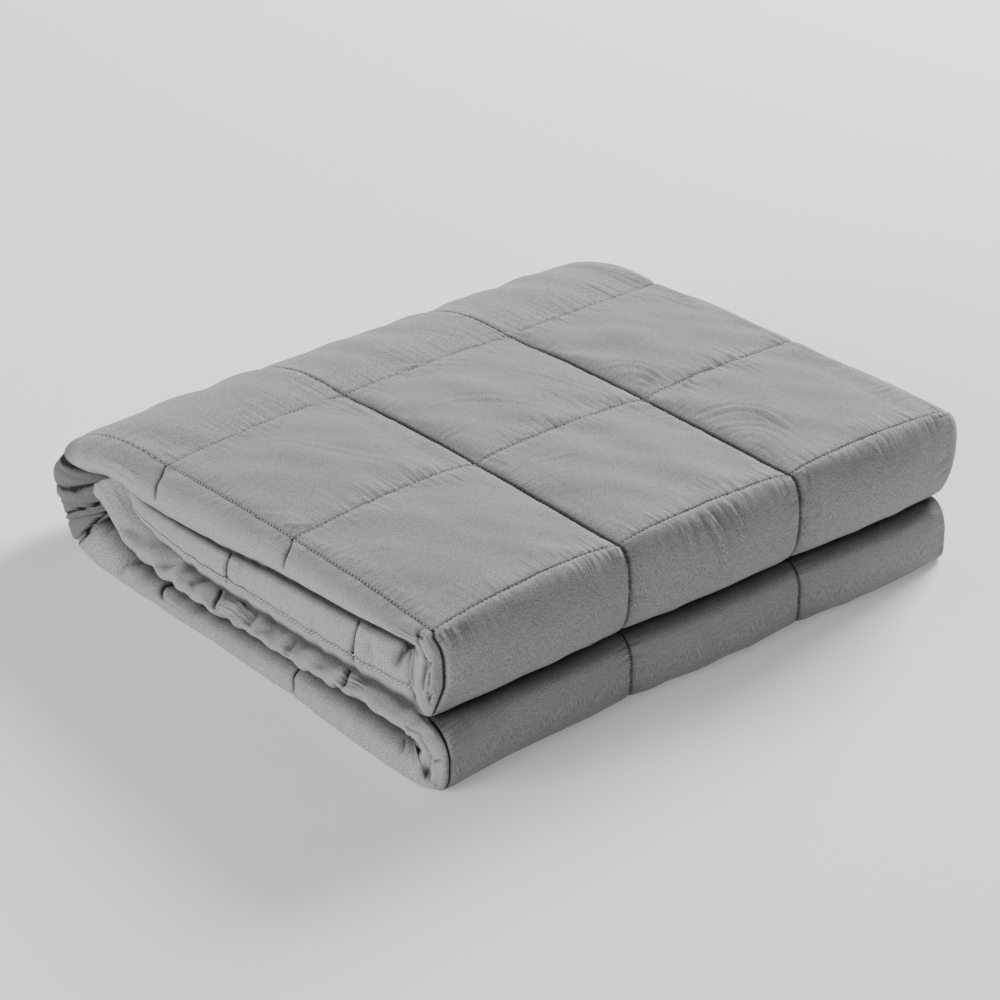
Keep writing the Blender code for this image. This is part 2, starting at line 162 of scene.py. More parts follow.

# ---- Creases seen in the cloth, by where they lie on it. Each row is (depth in mm, a ridge being
# negative, width in mm, shade painted along it, path), and each point of a path is (cloth width, along) in
# squares ----
TOP_CREASES = (
    (-0.8, 2.6, 0, ((2.04, 1.36), (2.13, 1.32), (2.20, 1.23), (2.21, 1.12), (2.19, 1.02))),
    (-0.7, 2.4, 0, ((2.03, 1.26), (2.12, 1.23), (2.16, 1.13), (2.14, 1.03))),
    (-0.6, 2.2, 0, ((2.03, 1.15), (2.11, 1.13), (2.11, 1.03))),
    (-0.6, 3.0, 0, ((2.06, 0.92), (2.21, 0.96), (2.35, 0.98), (2.47, 0.97))),
    (-0.9, 3.0, 0, ((2.02, 0.66), (2.14, 0.63), (2.25, 0.59), (2.30, 0.49), (2.30, 0.36), (2.29, 0.27))),
    (-0.8, 2.8, 0, ((2.02, 0.54), (2.13, 0.49), (2.22, 0.41), (2.24, 0.30), (2.22, 0.18))),
    (-0.6, 2.4, 0, ((2.02, 0.43), (2.13, 0.38), (2.13, 0.26), (2.09, 0.10))),
    (-0.5, 2.2, 0, ((2.06, 0.33), (2.10, 0.25), (2.06, 0.09))),
    (-0.5, 3.0, 0, ((2.09, 0.71), (2.22, 0.67), (2.36, 0.63))),
    (-0.5, 3.0, 0, ((1.10, 0.81), (1.26, 0.77), (1.38, 0.70))),
    (-0.4, 2.6, 0, ((1.08, 0.66), (1.20, 0.64), (1.29, 0.57))),
    (-0.4, 2.4, 0, ((1.06, 0.53), (1.15, 0.48))),
    (-0.4, 2.4, 0, ((1.06, 0.31), (1.16, 0.32))),
    (-0.7, 2.8, 0, ((1.71, 1.62), (1.80, 1.39), (1.84, 1.13), (1.89, 1.02))),
    (-0.5, 2.6, 0, ((1.66, 1.41), (1.70, 1.20), (1.69, 1.01))),
    (-0.5, 3.4, 0, ((1.28, 2.08), (1.47, 2.00), (1.62, 1.79))),
    (-0.5, 3.0, 0, ((1.14, 1.57), (1.33, 1.52), (1.46, 1.35), (1.55, 1.18))),
    (-0.7, 2.8, 0, ((0.77, 2.00), (0.93, 1.99), (0.95, 1.86), (0.92, 1.61))),
    (-0.5, 2.6, 0, ((0.64, 1.92), (0.82, 1.88), (0.89, 1.72))),
    (-0.5, 3.2, 0, ((0.33, 1.87), (0.47, 1.78), (0.56, 1.52), (0.65, 1.30), (0.71, 1.12))),
    (-0.4, 2.4, 0, ((0.74, 1.38), (0.71, 1.20), (0.69, 1.03))),
    (-0.4, 3.0, 0, ((-0.02, 1.31), (0.03, 1.26), (0.08, 1.15))),
    (-0.4, 3.0, 0, ((0.02, 1.14), (0.07, 1.06), (0.14, 1.02))),
    (-0.5, 2.4, 0, ((0.25, 2.24), (0.28, 2.16), (0.28, 2.08))),
    (-0.5, 2.4, 0, ((0.04, 2.10), (0.07, 2.05), (0.08, 1.97))),
    (-0.4, 2.4, 0, ((1.41, 2.19), (1.41, 2.11), (1.44, 2.06))),
    (-0.5, 2.6, 0, ((1.74, 2.20), (1.78, 2.13), (1.83, 2.06))),
    (-0.5, 2.6, 0, ((2.49, 2.15), (2.49, 2.07), (2.46, 1.93))),
    (-0.6, 2.8, 0, ((2.74, 2.15), (2.74, 2.07), (2.74, 1.97))),
    (-0.4, 2.6, 0, ((2.28, 2.12), (2.28, 2.05), (2.25, 1.96))),
    (-0.4, 3.0, 0, ((2.89, 1.91), (2.90, 1.73), (2.92, 1.57))),
    (0.5, 2.6, 0, ((0.13, 0.62), (0.19, 0.60), (0.23, 0.53))),
    (0.4, 2.4, 0, ((0.03, 0.69), (0.06, 0.60))),
    (0.4, 2.4, 0, ((0.08, 0.39), (0.08, 0.27))),
)
BULGE_CREASES = (
    (-1.3, 3.8, 0, ((1.43, -0.04), (1.45, -0.10), (1.50, -0.25), (1.54, -0.30))),
    (-0.9, 3.4, 0, ((1.55, -0.04), (1.57, -0.10), (1.61, -0.24))),
    (-0.7, 3.2, 0, ((1.30, -0.04), (1.31, -0.10), (1.33, -0.20))),
    (-0.5, 3.0, 0, ((1.18, -0.04), (1.19, -0.10), (1.20, -0.18))),
    (-0.6, 3.0, 0, ((2.05, -0.03), (2.04, -0.11), (2.03, -0.21))),
    (-0.4, 3.0, 0, ((2.30, -0.04), (2.30, -0.12), (2.31, -0.20))),
    (-0.5, 3.0, 0, ((2.47, -0.04), (2.49, -0.13), (2.51, -0.23))),
    (-0.6, 2.4, 0, ((0.05, -0.03), (0.05, -0.08), (0.06, -0.16))),
    (-0.6, 2.4, 0, ((0.10, -0.03), (0.10, -0.08), (0.10, -0.18))),
    (-0.5, 2.4, 0, ((0.14, -0.03), (0.14, -0.10), (0.15, -0.16))),
)
# The cross seams on the left side folds, in the same rows; their dark lines are painted shade.
STRIP_SEAMS = (
    (1.6, 1.3, 0.90, ((0.00, 2.01), (-0.06, 1.94), (-0.14, 1.85), (-0.21, 1.76))),
    (1.6, 1.3, 0.90, ((0.00, 1.01), (-0.08, 0.94), (-0.16, 0.89), (-0.21, 0.85))),
    (1.8, 1.6, 0.95, ((-0.41, -2.03), (-0.33, -2.03), (-0.26, -2.02), (-0.18, -2.02))),
    (1.8, 1.6, 0.95, ((-0.40, -1.00), (-0.29, -0.99), (-0.22, -1.00), (-0.16, -1.00))),
    (1.8, 1.5, 0.90, ((-0.04, 8.18), (-0.09, 8.14), (-0.16, 8.11), (-0.21, 8.10))),
    (1.8, 1.5, 0.90, ((-0.05, 7.12), (-0.08, 7.11), (-0.14, 7.09), (-0.21, 7.08))),
    (1.8, 1.6, 0.95, ((-0.27, 4.02), (-0.29, 3.98), (-0.33, 3.93), (-0.36, 3.93), (-0.40, 3.97))),
    (1.8, 1.6, 0.95, ((-0.23, 5.00), (-0.25, 5.00), (-0.29, 4.97), (-0.34, 4.97), (-0.38, 4.99))),
)
STRIP_CREASES = (
    # The topmost strip: soft folds at its back end.
    (0.7, 3.0, 0, ((-0.10, 2.28), (-0.21, 2.23))),
    (0.6, 3.0, 0, ((-0.15, 2.19), (-0.19, 2.14))),
    (0.6, 3.0, 0, ((-0.05, 2.07), (-0.15, 1.98))),
    (0.5, 3.0, 0, ((-0.09, 1.97), (-0.17, 1.89))),
    # The strip under it.
    (-1.2, 3.0, 0, ((-0.36, -0.85), (-0.32, -0.81), (-0.27, -0.79))),
    (4.4, 4.0, 0.95, ((-0.43, -0.65), (-0.39, -0.67), (-0.32, -0.70), (-0.26, -0.70))),
    (4.4, 3.0, 0.97, ((-0.36, -0.66), (-0.31, -0.64), (-0.27, -0.61), (-0.22, -0.60), (-0.15, -0.58))),
    (-1.6, 2.6, 0, ((-0.30, -0.57), (-0.25, -0.55), (-0.20, -0.55))),
    (1.2, 3.0, 0.15, ((-0.33, -0.90), (-0.27, -0.88), (-0.23, -0.85))),
    # The rolled end of the upper bulge, with the shade of its pinhole and its slits painted in.
    (1.6, 1.3, 0.75, ((-0.01, 0.05), (-0.04, 0.04), (-0.08, 0.04), (-0.14, 0.00), (-0.18, -0.09),
                      (-0.18, -0.19), (-0.12, -0.23), (-0.14, -0.27), (-0.11, -0.28),
                      (-0.14, -0.34), (-0.10, -0.40), (-0.05, -0.40))),
    (1.5, 1.8, 0.90, ((-0.08, 0.04), (-0.09, 0.02), (-0.11, -0.04))),
    (1.5, 1.4, 0.95, ((-0.11, -0.21), (-0.11, -0.23))),
    (2.0, 1.4, 0.95, ((-0.10, -0.34), (-0.09, -0.39))),
    (2.2, 2.6, 0.85, ((-0.15, -0.23), (-0.16, -0.26), (-0.19, -0.34), (-0.17, -0.40))),
    # The wrinkled third strip.
    (1.5, 3.0, 0.35, ((-0.20, 8.83), (-0.14, 8.80), (-0.09, 8.74))),
    (-1.4, 3.0, 0, ((-0.19, 8.69), (-0.10, 8.65))),
    (1.6, 3.0, 0.35, ((-0.22, 8.58), (-0.13, 8.54), (-0.06, 8.47))),
    (-1.2, 2.6, 0, ((-0.20, 8.45), (-0.12, 8.42), (-0.06, 8.38))),
    (1.6, 2.6, 0.40, ((-0.04, 8.28), (-0.06, 8.32), (-0.14, 8.33))),
    (2.0, 2.6, 0.40, ((-0.05, 7.86), (-0.08, 7.86), (-0.17, 7.84))),
    (1.8, 3.0, 0.30, ((-0.21, 7.75), (-0.16, 7.74), (-0.10, 7.70), (-0.07, 7.68))),
    (2.4, 2.6, 0.50, ((-0.06, 7.54), (-0.10, 7.52), (-0.18, 7.51))),
    (2.0, 2.0, 0.70, ((-0.20, 7.53), (-0.20, 7.48))),
    (-1.2, 4.0, 0, ((-0.22, 7.13), (-0.18, 7.10))),
    # The lowest strip, at the edge of the underside.
    (2.4, 2.5, 0.35, ((-0.24, 3.75), (-0.30, 3.69), (-0.33, 3.69), (-0.36, 3.73))),
    (1.5, 4.0, 0.2, ((-0.33, 3.47), (-0.34, 3.50))),
    (2.0, 2.0, 0.50, ((-0.30, 5.77), (-0.35, 5.77))),
    (3.2, 5.0, 0.97, ((-0.30, 6.42), (-0.31, 6.34), (-0.33, 6.16), (-0.34, 6.05))),
    (3.2, 4.6, 0.97, ((-0.22, 6.21), (-0.25, 6.05), (-0.27, 5.90), (-0.24, 5.99))),
    # The rolled end of the lower bulge.
    (1.8, 1.6, 0.75, ((-0.14, 6.52), (-0.18, 6.49), (-0.19, 6.34), (-0.17, 6.24), (-0.20, 6.19),
                      (-0.20, 6.05))),
    (1.5, 1.6, 0.85, ((-0.15, 6.23), (-0.12, 6.25), (-0.08, 6.26))),
    (1.5, 1.8, 0.90, ((-0.18, 6.66), (-0.18, 6.55), (-0.14, 6.52))),
    # The pleats at the back, and the gap under the end of the topmost strip, with their shade painted in.
    (4.0, 5.5, 0.97, ((-0.03, 2.60), (-0.09, 2.57), (-0.22, 2.51), (-0.30, 2.46), (-0.38, 2.43))),
    (2.8, 2.4, 0.97, ((-0.10, 2.78), (-0.17, 2.77), (-0.26, 2.75), (-0.32, 2.71), (-0.36, 2.67))),
    (2.8, 2.4, 0.97, ((-0.10, 3.13), (-0.17, 3.08), (-0.26, 3.00), (-0.33, 2.92), (-0.38, 2.85))),
    (2.8, 2.4, 0.97, ((-0.18, 3.47), (-0.22, 3.43), (-0.28, 3.40), (-0.35, 3.19), (-0.38, 3.12))),
)

TOP_BOLDNESS = 1.15
BULGE_BOLDNESS = 1.3
# In widths of the crease: how wide its painted shade is, how long its ripples are and how far out they die
# away, and how far from its path it is worked out at all.
CREASE_SHADE_WIDTH = 0.6
RIPPLE_LENGTH = 2.2
RIPPLE_REACH = 1.7
CREASE_REACH = 4

# ---- Small puckers that run off the stitch lines. Lengths are in mm; lean is along the line for each
# mm away from it ----
PUCKERS = {
    "lies": ("cross",) * 6 + ("long",) * 5,
    "at": (2, 2, 1, 1, 0, 0, 0, 1, 1, 2, 2),
    "side": (1, -1, 1, -1, 1, -1, 1, 1, -1, 1, -1),
    "spacing": (4.8, 4.2, 4.8, 4.2, 3.8, 4.2, 6.0, 6.0, 6.0, 6.0, 6.0),
    "longest": (16, 22, 26, 20, 12, 24, 10, 12, 8, 12, 8),
    "height": (0.60, 0.60, 0.68, 0.60, 0.45, 0.60, 0.42, 0.45, 0.35, 0.45, 0.35),
    "lean": (-0.35, 0.25, -0.40, 0.25, -0.2, 0.10, 0.3, 0.3, -0.3, 0.3, -0.3),
}
# How unevenly they are drawn: shares of the values above, the spread of their lean, and the share of dips.
PUCKER_DRAWS = {"spacing": (0.5, 1.5), "length": (0.25, 1.0), "height": (0.3, 1.0), "width": (0.22, 0.42)}
PUCKER_TILT = 0.25
PUCKER_DIPS = 0.4
PUCKER_ROWS = {"long": (-0.45, 2.4), "cross": (0.0, 3.0)}  # in squares
PUCKER_SEED = 5
# Waves of the whole cloth: how high and how long they are in mm, and how their direction turns in radians.
WAVES = {
    "part": ("top", "bulge", "strip"),
    "height": (0.42, 0.17, 0.42),
    "shortest": (16, 12, 8),
    "longest": (60, 40, 26),
    "heading": (0.42, 0.0, 1.57),
    "spread": (0.40, 0.30, 0.35),
}
WAVES_EACH = 36  # waves summed for each part
WAVES_SEED = 20
TOP_WAVES = {"along": (0, 0.1, 3.2, 3.4), "share": (0, 1, 1, 0)}
PINNED = {"width": 0.06, "least": 0.3}  # where the waves die down at the seams, and how far at a cross seam
STRIP_START = 0.03  # cloth width over which the strips' wrinkles take over
FLAT_EDGE = 0.25  # share of the left fold's lower half
# How much the side strips wrinkle along the cloth.
STRIP_WRINKLES = {
    "along": (-3.1, -2.2, -0.8, -0.3, 0.2, 1.8, 2.3, 3.4, 4.2, 5.6, 6.2, 6.7, 7.2, 8.2, 9.1),
    "share": (0.7, 0.7, 0.9, 0.6, 0.3, 0.3, 0.6, 0.6, 1.6, 0.8, 1.0, 0.8, 1.8, 2.2, 0.9),
}

# ---- Stitches that show: sizes in mm, rows in squares ----
STITCH = {"pitch": 2.9, "length": 1.7, "radius": 0.34, "lift": 0.20}
STITCH_ROWS = {
    "lies": ("long",) * 5 + ("cross",) * 4,
    "at": (0, 1, 1, 2, 2, 0, 1, 2, 3),
    "start": (0.02, -0.52, 5.86, -0.52, 5.86, -0.10, 0, 0, 0),
    "end": (3.45, 3.45, 6.56, 3.45, 6.56, 3, 3, 3, 3),
}

# ---- Shade painted into the cloth's colour between its folds ----
# Painted shade on the back of the left side, under the end of the topmost strip.
BACK_SHADE = {"along": (2.38, 2.48, 3.35, 3.50), "painted_shade": (0.0, 0.62, 0.52, 0.0)}
# Painted shade on the side folds where they meet: it grows from the first cloth width to the last.
MEETING_SHADE = {
    "start": (-3.1, -3.1, 6.6, 3.3),
    "end": (-0.5, -0.5, 8.5, 6.0),
    "first": (-0.345, -0.165, -0.10, -0.285),
    "last": (-0.400, -0.130, -0.05, -0.365),
    "painted_shade": (0.85, 0.85, 0.55, 0.80),
}
# Painted shade on the top of the lower front bulge, under the upper one.
FRONT_SHADE = {"along": (6.36, 6.55, 6.62, 6.75), "painted_shade": (0.0, 0.70, 0.70, 0.0)}
SHADE_FADE = {"across": 0.05, "along": 0.1}
# The most shade painted anywhere.
DARKEST = 0.97

# ---- Finishes, light and camera ----
CLOTH_GREY = (0.275, 0.275, 0.27775)
THREAD_GREY = (0.46, 0.46, 0.465, 1)
FLOOR_WHITE = (0.90, 0.90, 0.90, 1)
CONTRAST = {"grain": 2.8, "fluff": 0.30, "dye": 0.12}
# Puckers too fine for the mesh: how far they run off the cross and the long seams in mm, how their pattern
# is stretched, and how unevenly they lie.
FINE_PUCKERS = {"reach": (26.0, 16.0), "stretch": ((1.0, 0.12, 1.0), (0.12, 1.0, 1.0))}
FINE_PATCHES = {"contrast": 8.0, "bare": 2.2}
LIGHTS = {
    "name": ("key", "side"),
    "place": ((3.4, 1.1, 1.65), (-3.7, 0.5, 0.9)),
    "size": (1.6, 2.4),
    "power": (340.0, 198.0),
}
DAYLIGHT = 0.25
# The camera as fitted to the photo: lens and sensor in mm, angles in radians.
CAMERA_PLACE = (-1.014189, -1.262495, 0.927299)
CAMERA_AZIMUTH = -0.67704797
CAMERA_ELEVATION = 0.50677536
CAMERA_LENS = 113.28
CAMERA_SENSOR = 36
FLOOR_HEIGHT = -0.0005


def smooth(at, places, values):
    """A smooth curve through the values given at the places, which never overshoots them."""
    places = np.asarray(places, float)
    values = np.asarray(values, float)
    rises = np.diff(values) / np.diff(places)
    before, after = rises[:-1], rises[1:]
    same_way = before * after > 0
    slopes = np.zeros(len(values))
    slopes[1:-1][same_way] = 2 / (1 / before[same_way] + 1 / after[same_way])
    at = np.clip(at, places[0], places[-1])
    row = np.clip(np.searchsorted(places, at, side="right") - 1, 0, len(places) - 2)
    width = places[row + 1] - places[row]
    t = (at - places[row]) / width
    rise = 3 * t**2 - 2 * t**3
    start = t**3 - 2 * t**2 + t
    end = t**3 - t**2
    return (
        values[row] * (1 - rise)
        + values[row + 1] * rise
        + width * (slopes[row] * start + slopes[row + 1] * end)
    )


def height(name, across, depth):
    """The height of the top, or of a gap between two layers."""
    beside = np.clip(1 - across / DROOP_REACH, 0, 1)
    droop = smooth(depth, DROOPS["depth"], DROOPS[name])
    return smooth(depth, LAYERS["depth"], LAYERS[name]) - droop * beside**2


def straight(table, along):
    """The depth on a layer that lies straight, by length along the cloth."""
    return np.interp(along, table["along"], table["depth"])


def superellipse(turn, upper_power, lower_power):
    """(out, up) on a rounded half turn; turn runs from 1 at its top to -1 at its bottom."""
    angle = turn * np.pi / 2
    out = np.cos(angle)
    up = np.sin(angle)
    power = np.where(up > 0, upper_power, lower_power)
    return np.abs(out) ** (2 / power), np.sign(up) * np.abs(up) ** (2 / power)


def front_bulge(turn, top, bottom, reach, powers, gap, bottom_depth=0.0):
    """Outer and inner points of a front bulge between two heights, round the slit at the height gap."""
    out, up = superellipse(turn, *powers)
    middle = (top + bottom) / 2
    start = np.where(up < 0, bottom_depth, 0.0)
    outer = (start - (reach + start) * out, middle + (top - bottom) / 2 * up)
    inner = (SLIT - GAP * out, gap + GAP / 2 * up)
    return outer, inner


def back_turn(turn, across):
    """Outer and inner points of the turn at the back, round the ends of the inner layers."""
    out, up = superellipse(turn, BACK_TURN["upper_power"], BACK_TURN["lower_power"])
    start = np.where(up > 0, TOP["depth"][-1], BOTTOM["depth"][0])
    end_height = np.where(up > 0, height("top", across, start), SURFACE)
    widest = BACK_TURN["height"]
    outer = (start + (BACK_TURN["reach"] - start) * out, widest + np.abs(end_height - widest) * up)
    high = height("upper_gap", across, BACK_CORE["depth"])
    low = height("lower_gap", across, BACK_CORE["depth"])
    core_out, core_up = superellipse(turn, BACK_CORE["power"], BACK_CORE["power"])
    core = BACK_CORE["depth"] + BACK_CORE["reach"] * core_out
    inner = (core, (high + low) / 2 + (high - low + GAP) / 2 * core_up)
    return outer, inner


def section(across, along):
    """The outer and the inner point, as (depth, height), of the cloth at its seams."""
    outer = np.zeros((2, len(along)))
    inner = np.zeros((2, len(along)))

    def fill(where, found_outer, found_inner):
        for row in range(2):
            outer[row][where] = np.broadcast_to(found_outer[row], along.shape)[where]
            inner[row][where] = np.broadcast_to(found_inner[row], along.shape)[where]

    bulge_ends = UPPER_INNER["along"][-1], 0.0
    back_ends = TOP["along"][-1], BOTTOM["along"][0]
    low_ends = BOTTOM["along"][-1], LOWER_INNER["along"][0]

    depth = straight(UPPER_INNER, along)
    inside = np.maximum(depth, SLIT)
    fill(
        along <= bulge_ends[0],
        (depth, height("middle_gap", across, depth) + GAP / 2),
        (inside, height("upper_gap", across, inside) - GAP / 2),
    )

    turn = 2 * (along - bulge_ends[0]) / (bulge_ends[1] - bulge_ends[0]) - 1
    bulge = front_bulge(
        turn,
        height("top", across, 0),
        height("middle_gap", across, 0) + GAP / 2,
        UPPER_BULGE["reach"],
        (UPPER_BULGE["upper_power"], UPPER_BULGE["lower_power"]),
        height("upper_gap", across, SLIT),
    )
    fill((along > bulge_ends[0]) & (along < bulge_ends[1]), *bulge)

    depth = straight(TOP, along)
    inside = np.interp(along, (0.0, back_ends[0]), (SLIT, BACK_CORE["depth"]))
    fill(
        (along >= 0) & (along <= back_ends[0]),
        (depth, height("top", across, depth)),
        (inside, height("upper_gap", across, inside) + GAP / 2),
    )

    turn = 1 - 2 * (along - back_ends[0]) / (back_ends[1] - back_ends[0])
    fill((along > back_ends[0]) & (along < back_ends[1]), *back_turn(turn, across))

    depth = straight(BOTTOM, along)
    inside = np.interp(along, (back_ends[1], low_ends[0]), (BACK_CORE["depth"], SLIT))
    fill(
        (along >= back_ends[1]) & (along <= low_ends[0]),
        (depth, SURFACE),
        (inside, height("lower_gap", across, inside) - GAP / 2),
    )

    turn = 2 * (along - low_ends[0]) / (low_ends[1] - low_ends[0]) - 1
    beside = np.clip(1 - across / 0.5, 0, 1)
    reach = LOWER_BULGE["reach"] + (LOWER_BULGE["left_reach"] - LOWER_BULGE["reach"]) * beside**2
    bulge = front_bulge(
        turn,
        height("middle_gap", across, 0) - GAP / 2,
        SURFACE,
        reach,
        (LOWER_BULGE["upper_power"], LOWER_BULGE["lower_power"]),
        height("lower_gap", across, SLIT),
        BOTTOM["depth"][-1],
    )
    fill((along > low_ends[0]) & (along < low_ends[1]), *bulge)

    depth = straight(LOWER_INNER, along)
    inside = np.maximum(depth, SLIT)
    fill(
        along >= low_ends[1],
        (depth, height("middle_gap", across, depth) - GAP / 2),
        (inside, height("lower_gap", across, inside) + GAP / 2),
    )
    return outer, inner


def swelling(across, along):
    """0 at a crossing and 1 in the middle of a square. The cross seams pull in less than the long ones."""
    place = np.clip(across, 0, SQUARES_ACROSS)
    last = across > SQUARES_ACROSS - 0.5
    power = np.where(last, SWELL_POWERS["across_last"], SWELL_POWERS["across"])
    over = np.abs(np.sin(np.pi * place)) ** power
    down = np.abs(np.sin(np.pi * along)) ** SWELL_POWERS["along"]
    return over * (SWELL_ON_CROSS_SEAMS + (1 - SWELL_ON_CROSS_SEAMS) * down)


def strip(across, along):
    """How far past the outer stitch lines a point lies, and how much of the cloth's thickness it keeps."""
    past_left = np.clip(-across, 0, 1)
    past_right = np.clip(across - SQUARES_ACROSS, 0, 1)
    past = past_left + past_right
    thickness = np.cos(past * np.pi / 2)
    edge = smooth(along, LEFT_EDGE["along"], LEFT_EDGE["out"])
    left = smooth(along, LEFT_STRIP["along"], LEFT_STRIP["reach"]) - edge
    right = smooth(along, RIGHT_STRIP["along"], RIGHT_STRIP["reach"])
    pinch = 1 - STRIP_PINCH * (1 - np.abs(np.sin(np.pi * along)) ** 0.5)
    for place, width, depth in zip(PLEATS["along"], PLEATS["width"], PLEATS["depth"]):
        pinch = pinch * (1 - depth * np.clip(1 - np.abs(along - place) / width, 0, 1))
    out = np.sin(past * np.pi / 2) * pinch
    sideways = np.where(past_left > 0, -left, right) * out
    return sideways - edge * np.clip(1 - across, 0, 1) ** 2, thickness


def fold(girth, along):
    """Places of the cloth in the pack, in metres, by girth and length along."""
    across = np.where(girth <= TURN, girth, LOWER - girth)
    face = np.where(girth <= TURN, 1.0, -1.0)
    outer, inner = section(across, along)
    ahead, _ = section(across, along + NUDGE)
    behind, _ = section(across, along - NUDGE)
    along_way = ahead - behind
    along_way = along_way / np.maximum(np.linalg.norm(along_way, axis=0), 1e-9)
    outward = np.array([-along_way[1], along_way[0]])
    swell = swelling(across, along) * smooth(along, SWELL["along"], SWELL["height"])
    start, end = BOTTOM["along"][0], BOTTOM["along"][-1]
    underside = (along > start) & (along < end)
    outer = outer + outward * np.where(underside, 0, swell)
    outer[1] = np.maximum(outer[1], SURFACE)
    parting = height("middle_gap", across, outer[0])
    outer[1] = np.where(along < BULGE_MIDDLE[0], np.maximum(outer[1], parting + GAP / 2), outer[1])
    outer[1] = np.where(along > BULGE_MIDDLE[1], np.minimum(outer[1], parting - GAP / 2), outer[1])

    sideways, thickness = strip(across, along)
    middle = (outer + inner) / 2
    half = (outer - inner) / 2
    to_end = np.minimum(along - UPPER_INNER["along"][0], LOWER_INNER["along"][-1] - along)
    rounded_end = np.sqrt(1 - (1 - np.clip(to_end / END_ROUNDING, END_BLUNTNESS, 1)) ** 2)
    sag = np.interp(along, SAG["along"], SAG["share"])
    middle = middle + half * sag * (1 - thickness)
    point = middle + half * thickness * rounded_end * face
    tip = np.clip(1 - (LOWER_INNER["along"][-1] - along) / TIP["length"], 0, 1)
    point[0] += TIP["reach"] * tip**2 * np.sin(np.clip(-across, 0, 1) * np.pi / 2)
    x = np.interp(across, range(SQUARES_ACROSS + 1), ACROSS_PLACES) + sideways
    places = np.stack([x, point[0], point[1]], axis=1)
    return (places - (*PACK_CENTRE, SURFACE)) * SQUARE


def cloth_width(girth):
    """The distance across the cloth from the left stitch line; the left fold's lower half is negative too."""
    lower = -2 * FOLD_WIDTH + FOLD_WIDTH * (girth - LOWER)
    round_right = RIGHT + FOLD_WIDTH * (girth - RIGHT)
    inner = RIGHT + 2 * FOLD_WIDTH + (girth - INNER)
    places = (girth < 0, girth <= RIGHT, girth <= INNER, girth < LOWER)
    return np.select(places, (FOLD_WIDTH * girth, girth, round_right, inner), lower)


# ---- Relief of the cloth on its fold ----


def rounded_path(points):
    """A path in mm with its corners cut twice."""
    path = np.array(points, float) * SQUARE_MM
    for _ in range(2):
        inner = np.stack([path[:-1] * 0.75 + path[1:] * 0.25, path[:-1] * 0.25 + path[1:] * 0.75], axis=1)
        path = np.concatenate([path[:1], inner.reshape(-1, 2), path[-1:]])
    return path


def beside_path(where, path):
    """How far each place is from a path, and the share of the path's length at which it is nearest."""
    lengths = np.linalg.norm(np.diff(path, axis=0), axis=1)
    starts = np.concatenate([[0], np.cumsum(lengths)])
    best = np.full(len(where), np.inf)
    share = np.zeros(len(where))
    for start, end, begun, length in zip(path[:-1], path[1:], starts, lengths):
        way = (end - start) / length
        gone = np.clip((where - start) @ way, 0, length)
        away = np.linalg.norm(where - start - gone[:, None] * way, axis=1)
        nearer = away < best
        best[nearer] = away[nearer]
        share[nearer] = (begun + gone[nearer]) / starts[-1]
    return best, share


def add_creases(where, out, painted_shade, rows, boldness=1.0, rippled=False):
    """Soft troughs and ridges along paths, which fade at their ends, with shade painted along them; a rippled
    one has others beside it.
    """
    for depth, width, dark, points in rows:
        path = rounded_path(points)
        reach = CREASE_REACH * width
        near = np.all((where > path.min(axis=0) - reach) & (where < path.max(axis=0) + reach), axis=1)
        if not near.any():
            continue
        away, share = beside_path(where[near], path)
        fading = np.sqrt(np.clip(4 * share * (1 - share), 0, 1))
        if rippled:
            fewer = np.exp(-((away / (RIPPLE_REACH * width)) ** 2))
            profile = np.cos(2 * np.pi * away / (RIPPLE_LENGTH * width)) * fewer
        else:
            profile = np.exp(-((away / width) ** 2))
        out[near] -= boldness * depth * profile * fading
        # Painted shade along the crease.
        painted_shade[near] += dark * np.exp(-((away / (CREASE_SHADE_WIDTH * width)) ** 2)) * fading**0.5


def add_seams(width, along, out, painted_shade):
    """The stitch lines pressed into the outer face and the bulges, with shade painted along them."""
    for lies, at, start, end, fade, depth, spread, dark in zip(*SEAMS.values()):
        off, on = (width, along) if lies == "long" else (along, width)
        away = np.abs(off - at) * SQUARE_MM
        inside = np.clip(np.minimum(on - start, end - on) / fade + 1, 0, 1)
        out -= depth * np.exp(-away / spread) * inside
        # Painted shade along the seam's groove.
        painted_shade += dark * np.exp(-((away / SEAM_SHADE_WIDTH) ** 2)) * inside


def add_right_seams(width, along, out, painted_shade):
    """The cross seams pressed into the right side fold, with shade painted along them."""
    away = np.abs(along[:, None] - RIGHT_SEAMS["at"]).min(axis=1) * SQUARE_MM
    past = width - SQUARES_ACROSS
    inside = np.clip(past / RIGHT_SEAMS["fade"], 0, 1) * (width < SQUARES_ACROSS + 2 * FOLD_WIDTH)
    out -= RIGHT_SEAMS["depth"] * np.exp(-away / RIGHT_SEAMS["width"]) * inside
    # Painted shade along the seam's groove.
    painted_shade += RIGHT_SEAMS["painted_shade"] * np.exp(-((away / SEAM_SHADE_WIDTH) ** 2)) * inside


